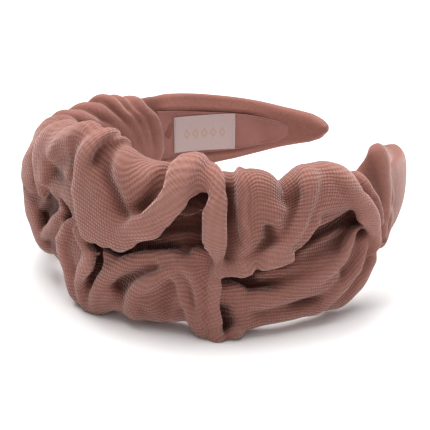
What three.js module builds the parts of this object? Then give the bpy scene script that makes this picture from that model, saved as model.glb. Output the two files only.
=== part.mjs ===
// A side-knotted, ruched velour headband, lying on its lower edge as it is set down on a table.
// Millimetres, +Z up. The hoop lies parallel to the XY plane: crown towards -Y, tips towards +Y,
// and the band's width runs along Z. The origin is the centre of the bounding box's bottom face.
//
// The real hoop is one moulding that springs open when it is put on. The long pieces (hoop, foam,
// cover and gathering threads) are therefore made as a left and a right half that meet at the
// crown with a hair gap, so that the two halves can swing apart about the crown.
import * as THREE from "three";
import { mergeVertices } from "three/addons/utils/BufferGeometryUtils.js";

// ---- Driving dimensions -------------------------------------------------------------------
const HOOP_HALF_WIDTH = 64; // inside of the hoop, centre to side
const CROWN_DEPTH = 57; // inside of the hoop, widest point to crown
const ARM_DEPTH = 80; // inside of the hoop, widest point towards the tips
const TIP_ANGLE = THREE.MathUtils.degToRad(164.5); // where each arm ends, from the crown
const LYING_HEIGHT = 34; // hoop's middle plane above the table
const CROWN_GAP = 0.3; // each half stops this short of the crown plane
const CLEARANCE = 0.3; // between neighbouring pieces

const HOOP_THICK = 1.8;
const FOAM_THICK = 2.6;
const FOAM_TIP_SETBACK = 14; // foam stops this far from the tip
const CLOTH_THICK = 1.0; // velour pulled flat over the arms
const ARM_HALF_HEIGHT = 21; // covered arm, where it is widest
const TAPER_LENGTH = 42; // how quickly the arm narrows
const TAPER_START = 8;
const TIP_RISE = 2; // the tips point a little up, and the arms hang a little behind them
const ARM_SAG = 1.6;
const TIP_ROUND = 7; // length of the rounded end

// Gathered cloth: how far it puffs out where it is full, beyond the flat covering.
const PUFF_OUT = 7.5;
const PUFF_IN = 2.6;
const FULL_TOP = 32; // the gathered cloth's upper edge, above the hoop's middle plane
const FULL_BOTTOM = -34.5; // its lower edge, which hangs fuller; cut off level at the table
const PUFF_FADE_LEFT = [-152, -88]; // along the hoop, from flat to full
const PUFF_FADE_RIGHT = [112, 178]; // along the hoop, from full to flat
const GATHER_DEPTH = 1.3; // height of the gathers in this plain solid
const GATHER_PITCH = 26;
const GATHER_SLANT = 1.6;

const THREAD_RADIUS = 0.5;
const THREAD_REACH = 118; // gathering threads end this far from the crown
const THREAD_ROOM = 1.6; // channel above and below the hoop for the threads

const LINING_THICK = 0.7;
const LINING_FROM = 112; // along the hoop from the crown
const LINING_TIP_SETBACK = 24;
const LINING_MARGIN = 6.5; // cover that shows above and below the lining
const SEAM_RADIUS = 0.35; // thread that sews the lining's long edges down
const SEAM_END_GAP = 2; // it stops this far short of the lining's ends

const LABEL_SIZE = [29, 16.5];
const LABEL_THICK = 0.45;
const LABEL_AT = 134.5; // along the left arm, from the crown
const LABEL_LIFT = -0.2; // label's middle, above the arm's middle
const LABEL_STITCH_INSET = 1.4;
const LABEL_STITCH_RADIUS = 0.25;

// Hand tacks that hold the folds down: [along the hoop from the crown, height above its middle].
const TACKS = [
  [59, -9],
  [105, -1],
  [17, -5],
  [-34, 5],
];
const TACK_LENGTH = 2.6;
const TACK_RADIUS = 0.4;

const smooth = THREE.MathUtils.smoothstep;

// ---- The hoop's line ----------------------------------------------------------------------
// A point of the hoop's inner face, and the direction out of the hoop there, at an angle
// from the crown: half an ellipse at the crown and a longer one towards the tips.
function hoopAt(angle) {
  const depth = Math.cos(angle) > 0 ? CROWN_DEPTH : ARM_DEPTH;
  const point = new THREE.Vector2(HOOP_HALF_WIDTH * Math.sin(angle), -depth * Math.cos(angle));
  const out = new THREE.Vector2(depth * Math.sin(angle), -HOOP_HALF_WIDTH * Math.cos(angle));
  return { point, out: out.normalize() };
}

const LINE_STEPS = 600;
const lineLengths = [0];
for (let i = 1; i <= LINE_STEPS; i++) {
  const before = hoopAt((TIP_ANGLE * (i - 1)) / LINE_STEPS).point;
  const here = hoopAt((TIP_ANGLE * i) / LINE_STEPS).point;
  lineLengths.push(lineLengths[i - 1] + before.distanceTo(here));
}
const ARM_LENGTH = lineLengths[LINE_STEPS]; // crown to tip, along the hoop

// The angle at a distance along the hoop from the crown.
function angleAt(along) {
  const distance = Math.min(Math.abs(along), ARM_LENGTH);
  let i = 1;
  while (i < LINE_STEPS && lineLengths[i] < distance) i++;
  const share = (distance - lineLengths[i - 1]) / (lineLengths[i] - lineLengths[i - 1]);
  return (Math.sign(along) * TIP_ANGLE * (i - 1 + share)) / LINE_STEPS;
}

// The place of a section point: along the hoop, out of its inner face, above the arm's middle.
function place(along, out, up) {
  const line = hoopAt(angleAt(along));
  return new THREE.Vector3(
    line.point.x + line.out.x * out,
    line.point.y + line.out.y * out,
    LYING_HEIGHT + armMiddle(along) + up,
  );
}

// ---- Sizes that change along the hoop -----------------------------------------------------
// 0 at the very tip, rising to 1 past the rounded end.
function tipRound(along) {
  const fromTip = ARM_LENGTH - Math.abs(along);
  return Math.sqrt(1 - (1 - Math.min(fromTip / TIP_ROUND, 1)) ** 2);
}

// Half the height of the covered arm.
function armHalf(along) {
  const fromTip = ARM_LENGTH - Math.abs(along);
  const taper = 1 - Math.exp(-(fromTip + TAPER_START) / TAPER_LENGTH);
  return ARM_HALF_HEIGHT * taper * Math.max(tipRound(along), 0.3);
}

// The arm's middle, above the hoop's middle plane.
function armMiddle(along) {
  const fromTip = ARM_LENGTH - Math.abs(along);
  const sag = smooth(fromTip, 20, 50) * (1 - smooth(fromTip, 70, 110));
  return TIP_RISE * (1 - smooth(fromTip, 0, 20)) - ARM_SAG * sag;
}

const hoopHalf = (along) => armHalf(along) - CLOTH_THICK - CLEARANCE;

// How full the gathered cloth is, from 0 on the smooth arms to 1 round the knot.
function fullness(along) {
  return smooth(along, ...PUFF_FADE_LEFT) * (1 - smooth(along, ...PUFF_FADE_RIGHT));
}

// How far the gathering threads' channel is open: 1 where they run, 0 beyond their ends.
function channel(along) {
  return 1 - smooth(Math.abs(along), THREAD_REACH + 2, THREAD_REACH + 12);
}

// ---- Sections, as lists of [out, up] ------------------------------------------------------
// A rounded box between two depths, as a superellipse.
function roundedSection(low, high, bottom, top, points, power) {
  const section = [];
  for (let i = 0; i < points; i++) {
    const turn = (2 * Math.PI * (i + 0.5)) / points;
    const c = Math.cos(turn);
    const s = Math.sin(turn);
    section.push([
      (low + high) / 2 + ((high - low) / 2) * Math.sign(c) * Math.abs(c) ** (2 / power),
      (bottom + top) / 2 + ((top - bottom) / 2) * Math.sign(s) * Math.abs(s) ** (2 / power),
    ]);
  }
  return section;
}

function flatSection(low, high, half) {
  return [
    [low, -half],
    [high, -half],
    [high, half],
    [low, half],
  ];
}

const FOAM_INNER = HOOP_THICK + CLEARANCE;
const FOAM_OUTER = FOAM_INNER + FOAM_THICK;

function hoopSection(along) {
  return roundedSection(0, HOOP_THICK, -hoopHalf(along), hoopHalf(along), 8, 8);
}

function foamSection(along) {
  const half = hoopHalf(along) - 1;
  return [
    [FOAM_INNER, -half],
    [FOAM_OUTER - 0.8, -half],
    [FOAM_OUTER, -half * 0.6],
    [FOAM_OUTER, half * 0.6],
    [FOAM_OUTER - 0.8, half],
    [FOAM_INNER, half],
  ];
}

// The hollow inside the cover, which the hoop, foam and threads fill.
function coverInside(along) {
  const room = CLEARANCE + THREAD_ROOM * channel(along);
  const pastFoam = Math.abs(along) - (ARM_LENGTH - FOAM_TIP_SETBACK);
  const overFoam = 1 - smooth(pastFoam, 5, 9);
  const outer = HOOP_THICK + (FOAM_OUTER - HOOP_THICK) * overFoam + CLEARANCE;
  const half = hoopHalf(along) + room;
  return [
    [-CLEARANCE, -half],
    [HOOP_THICK + CLEARANCE, -half],
    [outer, -half * 0.9],
    [outer, half * 0.9],
    [HOOP_THICK + CLEARANCE, half],
    [-CLEARANCE, half],
  ];
}

const COVER_POINTS = 24;
const COVER_ROUNDNESS = 3;
function coverOutside(along) {
  const full = fullness(along);
  const round = Math.max(tipRound(along), 0.35);
  const inner = -(CLEARANCE + CLOTH_THICK) - PUFF_IN * full;
  const outer = (FOAM_OUTER + CLEARANCE + CLOTH_THICK) * round + PUFF_OUT * full;
  const middle = armMiddle(along);
  const top = THREE.MathUtils.lerp(armHalf(along), FULL_TOP - middle, full);
  const bottom = THREE.MathUtils.lerp(-armHalf(along), FULL_BOTTOM - middle, full);
  return roundedSection(inner, outer, bottom, top, COVER_POINTS, COVER_ROUNDNESS).map(
    ([out, up]) => {
      const wave = Math.cos((2 * Math.PI * (along + GATHER_SLANT * up)) / GATHER_PITCH);
      const onOutside = smooth(out, 0, FOAM_OUTER);
      return [
        out + GATHER_DEPTH * full * wave * onOutside,
        Math.max(up, -LYING_HEIGHT - middle),
      ];
    },
  );
}

// ---- Lofted solids ------------------------------------------------------------------------
function signedVolume(positions, faces) {
  let six = 0;
  for (const [a, b, c] of faces) six += positions[a].dot(positions[b].clone().cross(positions[c]));
  return six / 6;
}

function solidFrom(positions, faces) {
  const outward = signedVolume(positions, faces) > 0;
  const geometry = new THREE.BufferGeometry().setFromPoints(positions);
  geometry.setIndex(faces.flatMap(([a, b, c]) => (outward ? [a, b, c] : [a, c, b])));
  geometry.computeVertexNormals();
  return geometry;
}

// Joins rings of equal length into a wall, and returns the index of each ring's first point.
function addWall(positions, faces, rings, inwards) {
  const starts = rings.map((ring) => {
    const start = positions.length;
    positions.push(...ring);
    return start;
  });
  const count = rings[0].length;
  for (let i = 1; i < starts.length; i++) {
    for (let j = 0; j < count; j++) {
      const next = (j + 1) % count;
      const quad = [starts[i - 1] + j, starts[i - 1] + next, starts[i] + next, starts[i] + j];
      if (inwards) quad.reverse();
      faces.push([quad[0], quad[1], quad[2]], [quad[0], quad[2], quad[3]]);
    }
  }
  return starts;
}

// A flat cap over a section, with an optional hole.
function addCap(faces, section, start, hole, holeStart, facingBack) {
  const flat = (points) => points.map(([out, up]) => new THREE.Vector2(out, up));
  const indexOf = (k) => (k < section.length ? start + k : holeStart + k - section.length);
  const triangles = THREE.ShapeUtils.triangulateShape(flat(section), hole ? [flat(hole)] : []);
  for (const [a, b, c] of triangles) {
    const face = [indexOf(a), indexOf(b), indexOf(c)];
    faces.push(facingBack ? face.reverse() : face);
  }
}

// Evenly spaced distances between two places along the hoop.
function stations(from, to, count) {
  return Array.from({ length: count + 1 }, (_, i) => from + ((to - from) * i) / count);
}

const ringAt = (along, section) => section(along).map(([out, up]) => place(along, out, up));

// A solid bar with a section that follows the hoop.
function bar(alongs, section) {
  const positions = [];
  const faces = [];
  const starts = addWall(positions, faces, alongs.map((s) => ringAt(s, section)), false);
  const last = alongs.length - 1;
  addCap(faces, section(alongs[0]), starts[0], null, 0, true);
  addCap(faces, section(alongs[last]), starts[last], null, 0, false);
  return solidFrom(positions, faces);
}

// A sock: open at its first end, closed at its last, with a hollow that stops short of it.
function sock(alongs, outside, hollowAlongs, inside) {
  const positions = [];
  const faces = [];
  const outer = addWall(positions, faces, alongs.map((s) => ringAt(s, outside)), false);
  const inner = addWall(positions, faces, hollowAlongs.map((s) => ringAt(s, inside)), true);
  const open = alongs[0];
  const last = alongs.length - 1;
  const hollowLast = hollowAlongs.length - 1;
  addCap(faces, outside(open), outer[0], inside(open), inner[0], true);
  addCap(faces, outside(alongs[last]), outer[last], null, 0, false);
  addCap(faces, inside(hollowAlongs[hollowLast]), inner[hollowLast], null, 0, true);
  return solidFrom(positions, faces);
}

// ---- Materials ----------------------------------------------------------------------------
const finish = (color, roughness) =>
  new THREE.MeshStandardMaterial({ color, roughness, metalness: 0 });
const materials = {
  velour: finish(0xb07e72, 0.95),
  lining: finish(0xa5746a, 0.9),
  plastic: finish(0xd9cfc8, 0.45),
  foam: finish(0xefe3d6, 0.95),
  label: finish(0xc9b0ad, 0.6),
  thread: finish(0x9a6a60, 0.8),
};

const headband = new THREE.Group();
function add(name, geometry, material) {
  const mesh = new THREE.Mesh(geometry, materials[material]);
  mesh.name = name;
  headband.add(mesh);
  return mesh;
}

// ---- The pieces that have a left and a right half -----------------------------------------
const HOOP_TIP_SETBACK = 2.4;
const COVER_STATIONS = 44;
const HOOP_STATIONS = 26;
const THREAD_STATIONS = 24;

// A thread's round section about a place in the section plane.
function threadSection(out, up, radius) {
  const section = [];
  for (let i = 0; i < 6; i++) {
    const turn = (Math.PI * i) / 3;
    section.push([out + radius * Math.cos(turn), up + radius * Math.sin(turn)]);
  }
  return section;
}

function addHalf(side, sign) {
  const from = sign * CROWN_GAP;
  const tip = sign * (ARM_LENGTH - 0.2);
  const hoopEnd = sign * (ARM_LENGTH - HOOP_TIP_SETBACK);
  const foamEnd = sign * (ARM_LENGTH - FOAM_TIP_SETBACK);
  const hollowEnd = sign * (ARM_LENGTH - HOOP_TIP_SETBACK + 0.6);

  add(`hoop_${side}`, bar(stations(from, hoopEnd, HOOP_STATIONS), hoopSection), "plastic");
  add(`foam_pad_${side}`, bar(stations(from, foamEnd, HOOP_STATIONS), foamSection), "foam");

  const nearTip = sign * (ARM_LENGTH - TIP_ROUND);
  const outsideStations = [
    ...stations(from, nearTip, COVER_STATIONS),
    ...[0.45, 0.8].map((share) => nearTip + (tip - nearTip) * share),
    tip,
  ];
  const cover = sock(
    outsideStations,
    coverOutside,
    stations(from, hollowEnd, COVER_STATIONS),
    coverInside,
  );
  add(`ruched_cover_${side}`, cover, "velour");

  for (const [edge, up] of [
    ["upper", 1],
    ["lower", -1],
  ]) {
    const height = (along) => up * (hoopHalf(along) + CLEARANCE + THREAD_RADIUS);
    const section = (along) => threadSection(HOOP_THICK / 2, height(along), THREAD_RADIUS);
    const run = stations(from, sign * THREAD_REACH, THREAD_STATIONS);
    add(`gather_thread_${edge}_${side}`, bar(run, section), "thread");
  }
}
addHalf("right", 1);
addHalf("left", -1);

// ---- Inner lining on each arm -------------------------------------------------------------
const ARM_INNER_FACE = -(CLEARANCE + CLOTH_THICK);
const liningOuter = (along) => ARM_INNER_FACE - PUFF_IN * fullness(along) - CLEARANCE;

function liningSection(along) {
  const outer = liningOuter(along);
  return flatSection(outer - LINING_THICK, outer, armHalf(along) - LINING_MARGIN);
}

for (const [side, sign] of [
  ["left", -1],
  ["right", 1],
]) {
  const end = ARM_LENGTH - LINING_TIP_SETBACK;
  const run = stations(sign * LINING_FROM, sign * end, 16);
  add(`inner_lining_${side}`, bar(run, liningSection), "lining");

  const seamRun = stations(sign * (LINING_FROM + SEAM_END_GAP), sign * (end - SEAM_END_GAP), 16);
  for (const [edge, up] of [
    ["upper", 1],
    ["lower", -1],
  ]) {
    const section = (along) => {
      const middle = liningOuter(along) - SEAM_RADIUS;
      const height = armHalf(along) - LINING_MARGIN + CLEARANCE + SEAM_RADIUS;
      return threadSection(middle, up * height, SEAM_RADIUS);
    };
    add(`lining_seam_${edge}_${side}`, bar(seamRun, section), "thread");
  }
}

// ---- Woven label on the left arm, with its two rows of stitches ---------------------------
const labelOuter = (along) => liningOuter(along) - LINING_THICK - CLEARANCE;

function labelSection(along) {
  const outer = labelOuter(along);
  const half = LABEL_SIZE[1] / 2;
  return flatSection(outer - LABEL_THICK, outer, half).map(([out, up]) => [out, up + LABEL_LIFT]);
}
const labelEnds = [-LABEL_AT - LABEL_SIZE[0] / 2, -LABEL_AT + LABEL_SIZE[0] / 2];
add("woven_label", bar(stations(...labelEnds, 8), labelSection), "label");

// A short upright bar of thread standing on a face: its place, and half its height.
function uprightThread(along, out, up, half, radius) {
  const thread = new THREE.CylinderGeometry(radius, radius, 2 * half, 8);
  thread.rotateX(Math.PI / 2);
  const at = place(along, out, up);
  thread.translate(at.x, at.y, at.z);
  return thread;
}
for (const [row, end, step] of [
  ["rear", labelEnds[0], LABEL_STITCH_INSET],
  ["front", labelEnds[1], -LABEL_STITCH_INSET],
]) {
  const along = end + step;
  const out = labelOuter(along) - LABEL_THICK - CLEARANCE - LABEL_STITCH_RADIUS;
  const half = LABEL_SIZE[1] / 2 - 1;
  const row_ = uprightThread(along, out, LABEL_LIFT, half, LABEL_STITCH_RADIUS);
  add(`label_stitch_${row}`, row_, "thread");
}

// ---- Hand tacks over the gathered cloth ---------------------------------------------------
function surfaceOut(along, up) {
  const section = coverOutside(along);
  let best = section[0];
  for (const point of section) {
    const nearer = Math.abs(point[1] - up) < Math.abs(best[1] - up);
    if (point[0] > FOAM_OUTER && (nearer || best[0] <= FOAM_OUTER)) best = point;
  }
  return best[0];
}
TACKS.forEach(([along, up], i) => {
  const reach = Math.max(surfaceOut(along - 3, up), surfaceOut(along, up), surfaceOut(along + 3, up));
  const out = reach + CLEARANCE + TACK_RADIUS;
  add(`tack_stitch_${i + 1}`, uprightThread(along, out, up, TACK_LENGTH / 2, TACK_RADIUS), "thread");
});

// ---- The origin: centre of the bounding box's bottom face ---------------------------------
const box = new THREE.Box3().setFromObject(headband);
const centre = box.getCenter(new THREE.Vector3());
headband.position.set(-centre.x, -centre.y, -box.min.z);

export default headband;
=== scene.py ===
"""Ruched velour headband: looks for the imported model. Lengths are in millimetres until the meshes
are made, along the hoop (s, from the crown, + on the right arm) and round the band's section
(w, from the middle of the outer face, + upwards)."""

import math

import bpy
import numpy as np
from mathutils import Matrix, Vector


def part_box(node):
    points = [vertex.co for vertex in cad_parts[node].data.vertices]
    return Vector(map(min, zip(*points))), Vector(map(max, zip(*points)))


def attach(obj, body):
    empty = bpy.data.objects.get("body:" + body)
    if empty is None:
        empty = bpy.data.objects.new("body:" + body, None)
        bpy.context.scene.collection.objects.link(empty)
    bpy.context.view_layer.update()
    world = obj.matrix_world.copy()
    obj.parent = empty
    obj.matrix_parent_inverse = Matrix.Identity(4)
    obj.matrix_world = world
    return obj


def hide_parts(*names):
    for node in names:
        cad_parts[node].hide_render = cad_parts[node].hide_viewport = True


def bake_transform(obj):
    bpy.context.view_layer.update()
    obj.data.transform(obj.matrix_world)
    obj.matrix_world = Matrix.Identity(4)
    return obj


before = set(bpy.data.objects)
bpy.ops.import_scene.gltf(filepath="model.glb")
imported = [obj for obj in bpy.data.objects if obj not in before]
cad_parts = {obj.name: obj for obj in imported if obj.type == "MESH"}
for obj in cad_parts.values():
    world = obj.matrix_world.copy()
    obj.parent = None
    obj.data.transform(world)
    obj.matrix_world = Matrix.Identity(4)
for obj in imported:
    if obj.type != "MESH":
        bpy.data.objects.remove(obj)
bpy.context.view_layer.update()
MM = 0.001
rng = np.random.default_rng(7)

# ---- The hoop's line, as in the design ----
HALF_WIDTH = 64.0
CROWN_DEPTH = 57.0
ARM_DEPTH = 80.0
TIP_ANGLE = math.radians(164.5)
LYING_HEIGHT = 34.0
HOOP_THICK = 1.8
CROWN_GAP = 0.3
hoop_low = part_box("hoop_right")[0] / MM
CENTRE = np.array([hoop_low.x - CROWN_GAP, hoop_low.y + CROWN_DEPTH + HOOP_THICK])


def smooth(x, low, high):
    t = np.clip((x - low) / (high - low), 0, 1)
    return t * t * (3 - 2 * t)


def hoop_point(angle):
    depth = np.where(np.cos(angle) > 0, CROWN_DEPTH, ARM_DEPTH)
    return np.stack([HALF_WIDTH * np.sin(angle), -depth * np.cos(angle)], -1) + CENTRE


def hoop_out(angle):
    depth = np.where(np.cos(angle) > 0, CROWN_DEPTH, ARM_DEPTH)
    out = np.stack([depth * np.sin(angle), -HALF_WIDTH * np.cos(angle)], -1)
    return out / np.linalg.norm(out, axis=-1, keepdims=True)


_angles = np.linspace(0, TIP_ANGLE, 2001)
_steps = np.linalg.norm(np.diff(hoop_point(_angles), axis=0), axis=1)
_lengths = np.concatenate([[0], np.cumsum(_steps)])
ARM_LENGTH = _lengths[-1]


def angle_at(s):
    return np.sign(s) * np.interp(np.abs(s), _lengths, _angles)


def unit(vectors):
    return vectors / np.maximum(np.linalg.norm(vectors, axis=-1, keepdims=True), 1e-9)


def place(s, out, up):
    """The point out of the hoop's inner face and above its middle plane, at s along it."""
    angle = angle_at(s)
    xy = hoop_point(angle) + hoop_out(angle) * out[..., None]
    return np.concatenate([xy, (LYING_HEIGHT + up)[..., None]], -1)


# ---- The band's section, before any folds ----
FULL_IN, FULL_OUT, FULL_HALF = -3.5, 9.0, 25.5  # gathered: inner face, outer face, half height
ARM_IN, ARM_OUT = -1.5, 6.3  # smooth arms: inner face, outer face
SECTION_POWER = 3.0  # how square the section's corners are; 2 is an ellipse
FOOT_SQUARER = 3.0  # added to that below the middle plane, where the band is full
FULL_LEFT, FULL_RIGHT = (-134, -96), (106, 134)  # where the arms turn full, along s
TUBE_LEFT, TUBE_RIGHT, TUBE_ROUNDER = (104, 122), (150, 175), 0.9  # right arm's rounder root
NOSE_LENGTH, NOSE_IN, NOSE_OUT = 7, 2.4, 3.4  # rounding of the tips, and what it takes off
KEPT_HALF = 6  # up to this height a full section stays as it is, and only its edges move
# Upper and lower edge of the band above and below the hoop's middle plane: (s, up).
TOP_EDGE = [
    (-191, 3.0), (-188, 5.2), (-183, 7.2), (-170, 9.2), (-160, 11.3), (-150, 13), (-130, 15.8),
    (-110, 19), (-101, 19), (-95, 21), (-86, 22), (-78, 21), (-68, 20.5), (-60, 22), (-50, 23),
    (-40, 25), (-30, 27.5), (-20, 29), (-10, 31), (0, 31.5), (7, 34.5), (13, 36), (19, 32),
    (30, 27.5), (38, 25.6), (46, 26), (51, 30), (56, 28), (63, 26.5), (70, 26.3), (76, 25),
    (80, 20.5), (86, 24), (93, 23.5), (100, 20), (105, 18.5), (111, 17), (116, 18), (120, 21),
    (124, 23.8), (128, 24.2), (132, 21), (137, 15), (142, 12), (150, 11.2), (160, 10.2),
    (170, 9.2), (183, 7.2), (188, 5.2), (191, 3.0),
]
LOW_EDGE = [
    (-191, 0.5), (-188, -3.2), (-183, -5.6), (-170, -9.3), (-160, -12.6), (-150, -15.5),
    (-130, -19.5), (-112, -25), (-98, -31), (-85, -32.5), (-70, -30), (-55, -26), (-35, -24),
    (-12, -23.5), (-2, -25.5), (4, -31), (8, -35), (16, -34.5), (22, -31), (28, -29.5), (33, -31.5),
    (39, -31), (46, -29.5), (50, -28.5), (53, -30), (56, -34), (60, -36), (64, -34),
    (68, -32.5), (75, -31.5), (80, -31), (86, -31), (93, -31), (102, -32), (108, -31),
    (114, -29), (120, -26), (130, -20), (140, -17.5), (150, -15.5), (160, -12.6), (170, -9.3),
    (183, -5.6), (188, -3.2), (191, 0.5),
]
EDGE_LIFT = 3.0  # what the folds add at the edges, where the band is full
EDGE_BLUR = [(-2.4, 0.1), (-1.2, 0.2), (0, 0.4), (1.2, 0.2), (2.4, 0.1)]  # shift along s, weight
EDGE_BLUR_FADE = (6, 14)  # distance from the tip over which that blur sets in


def squared(wave, power):
    """A sine or cosine bent towards a square wave."""
    return np.sign(wave) * np.abs(wave) ** (2 / power)


def between(x, rise, fall):
    """0 before rise, 1 from rise to fall, 0 after fall."""
    return smooth(x, *rise) * (1 - smooth(x, *fall))


_turn = np.linspace(-math.pi, math.pi, 4001)
_n = (FULL_IN + FULL_OUT) / 2 + (FULL_OUT - FULL_IN) / 2 * squared(np.cos(_turn), SECTION_POWER)
_u = FULL_HALF * squared(np.sin(_turn), SECTION_POWER)
_round = np.concatenate([[0], np.cumsum(np.hypot(np.diff(_n), np.diff(_u)))])
GIRTH = _round[-1]


def wrapped(w):
    """w brought back into one turn round the section."""
    return (w + GIRTH / 2) % GIRTH - GIRTH / 2


def fullness(s):
    return between(s, FULL_LEFT, FULL_RIGHT)


def edge(table, s):
    """The height that table gives at s, blurred a little along the band."""
    places, heights = zip(*table)
    away = smooth(ARM_LENGTH - np.abs(s), *EDGE_BLUR_FADE)
    return sum(share * np.interp(s + d * away, places, heights) for d, share in EDGE_BLUR)


def section_faces(s):
    """How far out the section's inner and outer face are."""
    from_tip = np.minimum((ARM_LENGTH - np.abs(s)) / NOSE_LENGTH, 1)
    nose = np.sqrt(np.clip(1 - (1 - from_tip) ** 2, 0, 1))
    arm_in = ARM_IN + NOSE_IN * (1 - nose)
    arm_out = ARM_OUT - NOSE_OUT * (1 - nose)
    full = fullness(s)
    return arm_in + (FULL_IN - arm_in) * full, arm_out + (FULL_OUT - arm_out) * full


def base_section(s, w):
    """(out, up) of the section without folds."""
    turn = np.interp(w, _round - GIRTH / 2, _turn)
    full = fullness(s)
    low, high = section_faces(s)
    top = edge(TOP_EDGE, s) - EDGE_LIFT * full
    bottom = edge(LOW_EDGE, s) + EDGE_LIFT * full
    power = SECTION_POWER - TUBE_ROUNDER * between(s, TUBE_LEFT, TUBE_RIGHT)
    across = squared(np.cos(turn), power + FOOT_SQUARER * full * (turn < 0))
    out = (low + high) / 2 + (high - low) / 2 * across
    up = FULL_HALF * squared(np.sin(turn), power)
    moved = up + (top - FULL_HALF) * smooth(up, KEPT_HALF, FULL_HALF)
    moved = moved + (bottom + FULL_HALF) * smooth(-up, KEPT_HALF, FULL_HALF)
    spread = (top + bottom) / 2 + (top - bottom) / 2 * up / FULL_HALF
    return out, moved * full + spread * (1 - full)


# ---- Lining on the inside of each arm ----
LINING_START, LINING_END = 112.0, ARM_LENGTH - 17
RIM = 1.7  # how far the cover's rolled rim stands proud of the arm's inner face
RIM_WIDTH = 2.2
RIM_START, RIM_END = (110, 116), (148, 168)  # where the rim begins and ends along each arm
# Height of the lining's two long edges: (distance from the crown, up).
SEAM_TOP = [
    (105, 10.8), (113, 10.5), (120, 9.8), (130, 8.6), (140, 7.6), (155, 6.2), (168, 3.8),
    (175, 0.8),
]
SEAM_LOW = [(105, -12.4), (113, -12.2), (130, -11.4), (150, -10.0), (168, -6.2), (175, -2.0)]


def seam_top(s):
    return np.interp(np.abs(s), *zip(*SEAM_TOP))


def seam_low(s):
    return np.interp(np.abs(s), *zip(*SEAM_LOW))


# ---- Folds ----
# Heights are in mm from the base section. Points are (s, w).
FLOOR = -3.3  # bottom of the deepest pocket
TOUCH_LIFT = 4.5
READ_LIFT = 3.0  # the folds' points are placed as seen at this height, from the front right
VIEW_AZIMUTH = math.radians(53.5)
VIEW_ELEVATION = math.radians(20)
VIEW_MIDDLE, VIEW_REACH = 40, 90  # the points so placed are this near to this s
LEAST_FACING = 0.45

# Layers of cloth with a rolled edge: outline, roll radius, height.
FLAPS = [
    # cloth under the big panel, and its lower hem
    ([(20, -4), (30, -5.5), (38, -3), (46, -1.5), (52, -0.5), (57, 3), (52, 0.5), (48, -3.5),
      (44, -7.2), (41.5, -9.2), (37.5, -10), (33, -11.5), (28.5, -14), (26, -16.5), (24.5, -19),
      (21.5, -22.5), (16, -26), (16, -20), (19.8, -15), (21.3, -9)], 3.0, 2.2),
    # the gusset that runs down from the pinch
    ([(58, 3), (52, 0), (48, -4), (44, -7.5), (41.5, -9.5), (40, -12.5), (37.5, -15.5), (34, -18),
      (34, -22), (40, -26), (47, -25), (51, -20), (54, -24), (56, -36), (62, -36), (61, -24),
      (59, -16), (59.5, -8)], 3.0, 3.2),
    # big front panel and the diagonal fold it turns into
    ([(9, 40), (9, 28), (9.3, 20), (8.3, 14), (8, 9), (8.4, 3), (10, -1.5), (12, -5), (15.5, -5),
      (18.5, -3.5), (22, -3.4), (25, -3), (29, -1.3), (32.5, 1.5), (37.5, 5), (45, 10.5),
      (49.5, 14.5), (53, 17.5), (56, 21), (57, 27), (55, 34), (50, 40)], 4.5, 6.0),
    # panel right of the centre ridge
    ([(67, 40), (67, 24), (66.5, 20), (67, 10), (67.8, 4), (66.5, -1), (63.5, -5), (61.5, -8),
      (65.5, -6.8), (70, -5.4), (75.5, -4.8), (80.5, -3.8), (85, -1.3), (87.5, 1.2), (90, 4.2),
      (92.5, 6.3), (93, 12), (91, 20), (92, 40)], 3.4, 4.0),
    # upper left fold that runs away over the crown
    ([(12, 40), (9, 28), (9, 13), (7.5, 11.5), (2.5, 12.5), (-4, 13.5), (-7.5, 11), (-8.5, 8),
      (-14.5, 6.5), (-16.5, 10.5), (-17.5, 14), (-15.5, 19), (-12.5, 23.5), (-12, 30), (-12, 40)],
     3.4, 5.5),
]

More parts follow.
